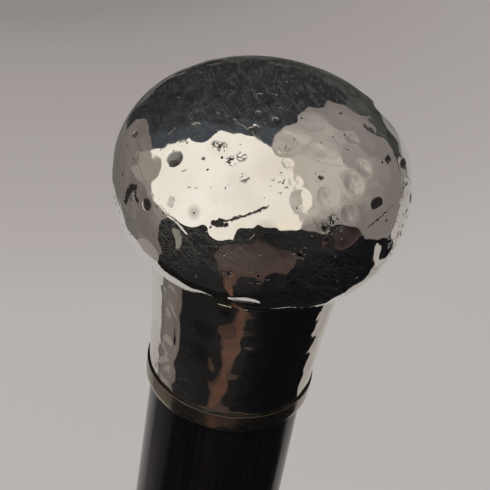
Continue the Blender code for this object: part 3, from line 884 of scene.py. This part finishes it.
def card(name, distance, tones, corners, along=(0, 0, 1), low=-0.3, high=0.5, patchy=0.6):
    """A card bent round the knob at this distance, cut to a smooth outline through its corners,
    each azimuth and elevation in degrees."""
    rim = smooth_loop([direction(*corner) for corner in corners])
    middle = sum(rim, Vector()).normalized()
    level = middle.orthogonal().normalized()
    side = middle.cross(level)
    flat = [
        Vector((way.dot(level), way.dot(side), 0.0)) / (1.0 + way.dot(middle)) for way in rim
    ]
    sheet = bmesh.new()
    verts = [sheet.verts.new(way * distance) for way in rim]
    for corner in geometry.tessellate_polygon([flat]):
        sheet.faces.new([verts[index] for index in corner])
    for _ in range(CARD_SPLITS):
        bmesh.ops.subdivide_edges(sheet, edges=sheet.edges, cuts=1, use_grid_fill=True)
        for vert in sheet.verts:
            vert.co = vert.co.normalized() * distance
    mesh = bpy.data.meshes.new(name)
    sheet.to_mesh(mesh)
    sheet.free()
    mesh.materials.append(glowing_card_finish(name, tones, along, low, high, patchy))
    made = placed(name, mesh)
    for ray in ("camera", "diffuse", "shadow", "transmission", "volume_scatter"):
        setattr(made, "visible_" + ray, False)


def studio_cards():
    """Cards that give the silver its reflections."""
    card("white_window_card", 0.5, ("#F4EDDD", "#EFE9DB", "#F5EFE4", "#FCF9F0"), [
        (-60, -10), (-66, -10.5), (-73, -8), (-76, -3), (-75, 3), (-78, 9), (-85, 14), (-93, 16),
        (-99, 17), (-100, 24), (-101, 32), (-103, 38), (-106, 43), (-109, 48), (-111, 52.5),
        (-113.5, 58), (-122, 60), (-130, 61), (-132, 64), (-137, 67), (-150, 68), (-158, 69),
        (-158, 73), (-166, 78), (-179, 80.5), (158, 83), (123, 84), (102, 80), (82, 76), (76, 70),
        (70, 66.5), (60, 63.5), (52, 61), (47, 56), (44, 50.5), (37.5, 46.5), (37, 40), (37.8, 34),
        (37.5, 30), (36, 26), (33, 18.5), (27, 13.5), (20, 12), (14, 14), (8, 16), (1, 14),
        (-8, 10.5), (-11, 8), (-12.5, 3), (-12.5, -2.5), (-17, -2.2), (-24, -1.2), (-32, -1.2),
        (-39, -4), (-45, -7), (-52, -9),
    ], along=(-0.85, -0.15, 0.5), low=-0.05, patchy=0.4)
    card("bright_strip_card", 0.512, ("#E8E2D2", "#D8D2C2"), [
        (-62, -11.5), (-56, -11), (-51, -13), (-46, -18), (-45, -20.5), (-48, -20), (-52, -15.5),
        (-56, -13.5), (-62, -13.5),
    ])
    card("small_grey_card", 0.515, ("#8A867B", "#7C786D"), [
        (-57, -21.5), (-51, -21), (-50.5, -28), (-52.5, -36), (-59, -36.5), (-59, -28),
    ], high=-0.2, patchy=0)
    card("copper_card", 0.83, ("#64463A", "#5E443A", "#5C453B", "#64483C"), [
        (-12.5, -43.5), (-7, -44.5), (-4, -48), (-4, -53), (-6, -60), (-10, -67), (-14, -74),
        (-18, -80), (-24, -81.5), (-22, -74), (-20, -65), (-16.5, -56), (-14, -48),
    ], low=-0.8, high=-0.58, patchy=0.3)
    card("brown_card", 0.84, ("#4A342C", "#4A3A34", "#4C413C", "#443A37", "#382F2C", "#2C2624"), [
        (-28, -38), (-27, -31), (-25.5, -23), (-22, -17), (-12, -14), (-5, -6), (1, 2), (4, 9),
        (8, 9), (10, 0), (14, -5), (22, -7), (30, -12), (33, -20), (33, -30), (30, -38), (24, -44),
        (15, -47.5), (5, -48.5), (-1, -49), (-2, -54), (-5, -60), (-9, -68), (-14, -76), (-20, -82),
        (-25, -82), (-24, -74), (-22, -66), (-20, -57), (-18.5, -51), (-18.5, -46), (-21, -43.5),
        (-26.5, -42),
    ], low=-0.82, high=0.12, patchy=0.3)
    card("low_black_card", 0.85, ("#0E0E11", "#101014", "#131317", "#19191B", "#232222"), [
        (-66, -8), (-50, 0), (-30, 10), (0, 20), (30, 24), (60, 20), (80, 8), (95, -10), (110, -19),
        (117, -27), (124, -33.5), (130, -36), (122, -36.5), (114, -33.5), (106, -29), (99, -25.5),
        (96, -28), (101, -32), (107, -36), (115, -39), (120.5, -42), (124, -46), (126, -51),
        (128, -58), (100, -72), (50, -74), (0, -74), (-50, -74), (-88, -66), (-92, -56), (-80, -40),
        (-75, -20),
    ], along=(-0.64, 0, 0.77), low=-0.82, high=-0.55, patchy=0.4)
    card("line_card", 0.862, ("#B5B3AE", "#A5A39E"), [
        (158, -50), (166, -46), (173, -44), (175, -50), (172, -58), (166, -66), (152, -73),
        (143, -72), (150, -67), (160, -60), (164, -54),
    ])
    card("foot_black_card", 0.872, ("#141414", "#181817"), [
        (178, -45), (170, -52), (160, -51), (150, -53), (140, -54), (130, -52.5), (121, -49),
        (100, -46), (50, -50), (0, -55), (-50, -55), (-85, -54), (-97, -58), (-105, -60),
        (-115, -63), (-125, -66), (-135, -69.5), (-145, -72.5), (-155, -71), (-163, -67),
        (-169, -62), (-174, -55), (-177, -47), (-177, -85), (-120, -85), (-60, -85), (0, -85),
        (60, -85), (120, -85), (176, -85),
    ])
    card("rim_shade_card", 0.885, ("#A9A49F", "#B8B3AE", "#B0ABA6", "#BBB6B1"), [
        (104, -18), (112, -15), (122, -22), (132, -28), (146, -31), (160, -36), (168, -42),
        (166, -48), (150, -52), (130, -56), (116, -50), (106, -40), (102, -28),
    ], low=-0.72, high=-0.2, patchy=1)
    card("brown_patch_card", 0.59, ("#54433F", "#3A312F", "#2D2725", "#292422"), [
        (57, -3), (61, 5), (68, 6), (76, 1), (79, -8), (73, -10), (63, -9),
    ], low=-0.1, high=0.05, patchy=0.3)
    card("grey_right_card", 0.6, ("#7C7572", "#847D7A", "#918B86", "#A59F98", "#BDB7AE"), [
        (25, 20), (36, 15.5), (44, 12), (53, 12), (60, 10), (66, 6), (70, 4), (75, 1.5), (78, -6),
        (82, -12), (86, -18), (94, -21.5), (103, -23), (109, -26), (114, -27.5), (118, -20),
        (122, -14), (122, -7), (128, -6), (135, -7), (137, -2), (137, 5), (138.5, 11), (143, 14.5),
        (149, 15.3), (155, 16.5), (160, 21), (164, 25), (165.5, 30), (168, 35), (168, 42),
        (165, 50), (167, 56), (172, 62), (172, 72), (168, 80), (120, 86), (60, 86), (20, 80),
        (10, 60), (10, 30),
    ], along=(0.39, -0.17, 0.91), low=0.25, high=0.58, patchy=0.7)
    card("light_wedge_card", 0.62, ("#7F7873", "#8F8983", "#989189"), [
        (-100, 18), (-90, 18), (-80, 12), (-70, 0), (-62, -10), (-66, -19), (-76, -14), (-88, -10),
        (-100, -8), (-110, -5), (-106, 4),
    ], low=-0.2, high=0.1, patchy=0.3)
    card("grey_left_card", 0.63, ("#6C6763", "#7A736F", "#6D6662", "#7A736F", "#8E8781"), [
        (-60, -2), (-62, -10), (-61, -13), (-64, -17), (-68, -22), (-70, -28), (-69.5, -35),
        (-71, -40), (-75, -45), (-79, -50), (-86, -54), (-95, -57), (-105, -57), (-114, -53),
        (-121, -48), (-123, -41), (-134, -37), (-150, -35), (-167, -30), (-165, -24), (-150, -20),
        (-140, -14), (-138, -5), (-135, 0), (-131, 6), (-125, 11), (-118, 16), (-110, 18.5),
        (-101, 19), (-92, 18), (-80, 14), (-70, 5),
    ], along=(0.34, -0.69, 0.64), low=-0.57, high=-0.16, patchy=0.5)
    card("low_left_card", 0.626, ("#938C86", "#8B847E"), [
        (-99, -47), (-110, -47), (-119, -47.5), (-121, -49.5), (-115, -53), (-105, -56), (-96, -56),
        (-93, -50),
    ])
    card("skirting_card", 0.655, ("#767571", "#4F504C", "#393A37", "#323331", "#414341"), [
        (140, 17), (158, 19), (166, 12), (171, 6), (179, 2), (-172, -3), (-160, -10), (-146, -14),
        (-148, -24), (-165, -28), (-178, -27), (172, -25), (168, -16), (163, -10), (158, -3),
        (154, 0), (148, -2), (141, -5), (134, -5), (134, 6),
    ], low=-0.28, high=0.1, patchy=0.7)
    card("rim_grey_card", 0.66, ("#96928E", "#7E7B77", "#8B8783"), [
        (166, -10), (160, 0), (154, 4), (146, 2), (138, -3), (138, -8), (146, -10), (156, -12),
    ], low=-0.14, high=0.03, patchy=0.8)
    card("far_black_card", 0.67, ("#262527", "#29292C", "#303337", "#3D4249"), [
        (-95, 18), (-88, 40), (-92, 62), (-130, 76), (-165, 83), (180, 85), (160, 82), (158, 60),
        (155, 40), (154, 20), (158, 13), (166, 9), (172, 3), (-178, -3), (-168, -11), (-155, -18),
        (-142, -18), (-132, -10), (-120, 0), (-105, 10),
    ], along=(0.24, -0.92, -0.31), low=-0.66, high=-0.4, patchy=0.5)


def floor_finish():
    """Pale painted table top, warm grey, with painted shade: darker round one place at the far
    left, where the light falls off.
    """
    made, tree, shader, place = finish("pale_table")
    fade = 1.4  # metres from the darkest place to the plain grey
    around = add(tree, "Mapping", {
        "Vector": place, "Location": (0.6 / fade, -2.2 / fade, 0.0), "Scale": (1.0 / fade,) * 3,
    })
    painted_falloff = add(tree, "TexGradient", {"Vector": around}, gradient_type="SPHERICAL").outputs["Fac"]
    shades = [
        (0.1, "#B8B4B1"), (0.2, "#B2ABA8"), (0.34, "#AAA3A1"), (0.45, "#A49C9A"),
        (0.52, "#9E9996"), (0.6, "#928C88"),
    ]
    tone = add(tree, "ValToRGB", {"Fac": painted_falloff}, shades)
    feed(tree, shader, {"Base Color": tone, "Roughness": 0.85})
    return made


def studio():
    """Plain pale floor, pale surroundings and soft lamps."""
    bpy.ops.mesh.primitive_circle_add(
        vertices=96, radius=60.0, fill_type="NGON", location=(0.0, 0.0, GROUND)
    )
    floor = bpy.context.object
    floor.name = "pale_floor"
    floor.data.materials.append(floor_finish())

    world = bpy.data.worlds.new("pale_room")
    world.use_nodes = True
    tree = world.node_tree
    tree.nodes.clear()
    ray = add(tree, "LightPath")
    rays = [ray.outputs[f"Is {way} Ray"] for way in ("Camera", "Glossy", "Transmission")]
    light = add(tree, "Background", {"Color": linear("#FFFFFF"), "Strength": 0.64})
    shown = add(tree, "Background", {"Color": linear("#B4B1AE")})
    both = add(tree, "MixShader", {0: strongest(tree, rays), 1: light, 2: shown})
    add(tree, "OutputWorld", {"Surface": both})
    bpy.context.scene.world = world

    for name, way, watts in (
        ("key_lamp", direction(-45, 62), 105.0),
        ("fill_lamp", direction(70, 45), 30.0),
    ):
        data = bpy.data.lights.new(name, "AREA")
        data.shape = "DISK"
        data.size = LAMP_SIZE
        data.energy = watts
        lamp = placed(name, data)
        lamp.location = way * LAMP_DISTANCE
        lamp.rotation_mode = "QUATERNION"
        lamp.rotation_quaternion = (-way).to_track_quat("-Z", "Y")
        lamp.visible_glossy = False


def camera():
    """Looks down on the knob from close by, rolled a little, as the photograph does."""
    back = Vector((0.0, -math.cos(CAMERA_ELEVATION), math.sin(CAMERA_ELEVATION)))
    stand = back * CAMERA_DISTANCE
    ahead = (CAMERA_AIM - stand).normalized()
    level = ahead.cross(Vector((0.0, 0.0, 1.0))).normalized()
    upright = level.cross(ahead)
    right = level * math.cos(CAMERA_ROLL) + upright * math.sin(CAMERA_ROLL)
    up = upright * math.cos(CAMERA_ROLL) - level * math.sin(CAMERA_ROLL)
    data = bpy.data.cameras.new("camera")
    data.sensor_width = SENSOR_WIDTH
    data.lens = FOCAL_PIXELS / FRAME_PIXELS * SENSOR_WIDTH
    data.clip_start, data.clip_end = 0.01, 200.0
    made = placed("camera", data)
    aim = Matrix((right, up, -ahead)).transposed().to_4x4()
    made.matrix_world = Matrix.Translation(stand) @ aim
    bpy.context.scene.camera = made


# Putting it together


def dressed(piece, material, slot, *nodes):
    """Give a piece its finish and let it stand for its CAD nodes."""
    piece.data.materials.clear()
    piece.data.materials.append(material)
    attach(piece, "root")
    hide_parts(*nodes)


def repainted(node, material):
    """A CAD node whose shape is right keeps it and gets a better finish."""
    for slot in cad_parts[node].material_slots:
        slot.material = material


bpy.context.scene.view_settings.view_transform = "Standard"

# waves are scales along X, Y and Z in waves per metre, and a depth in mm
knob_silver = silver(
    "hammered_silver", "#F4F2EF", "#E8E3DB", roughness=0.02, dullness=0.05, haze=1.0,
    waves=(((620.0,) * 3, 0.016), ((3300.0,) * 3, 0.0012)),
    marks=knob_marks,
)
collar_silver = silver(
    "collar_silver", "#E9E6E1", "#D6D0C6", roughness=0.03, dullness=0.06, haze=0.32,
    waves=(((620.0,) * 3, 0.016), ((480.0, 480.0, 900.0), 0.017), ((1500.0,) * 3, 0.002)),
    # the foot is darkened: old dirt and painted shade where the collar sits on the band
    marks=joint_grime_and_shade([(COLLAR_FOOT, COLLAR_FOOT + 0.06 * MM)], 0.1 * MM, COLLAR_PATCHES),
)
band_silver = silver(
    "band_silver", "#B9AF9F", "#8F8473", roughness=0.14, dullness=0.1, haze=0.3,
    waves=(((500.0,) * 3, 0.012),),
    # the top edge and the foot are darkened: old dirt and painted shade in the joints, which on the
    # top edge's bevel also paints out a highlight
    marks=joint_grime_and_shade(
        [(BAND_TOP - 0.1 * MM, BAND_TOP + 0.1 * MM), (BAND_FOOT - 0.1 * MM, BAND_FOOT + 0.35 * MM)],
        0.05 * MM,
    ),
)
# scratches 0.24 mm wide on the turned brass, 2 mm on the steel and iron
brass = worn_metal("worn_brass", ("#D9B36A", "#B08A48", "#5A452A"), 0.18, 4200.0)
steel = worn_metal("scuffed_steel", ("#A7A5A2", "#7C7976", "#4A4440"), 0.3, 500.0)
iron = worn_metal("blackened_iron", ("#5C5550", "#3E3834", "#5B3A25"), 0.4, 500.0)

dressed(hammered_knob(), knob_silver, "silver", "knob_cap", "knob_bowl")
dressed(hammered_collar(), collar_silver, "silver", "collar")
dressed(turned_band(), band_silver, "silver", "collar_band")
dressed(polished_shaft(), black_wood(), "black_wood", "shaft")
dressed(brass_ferrule(), brass, "brass", "ferrule")
dressed(pin_head("brass_pin_1", 0.0), brass, "brass", "ferrule_pin_1")
dressed(pin_head("brass_pin_2", math.pi), brass, "brass", "ferrule_pin_2")
repainted("ferrule_tip", steel)
repainted("knob_filling", pitch())
repainted("knob_screw", iron)

studio_cards()
studio()
camera()
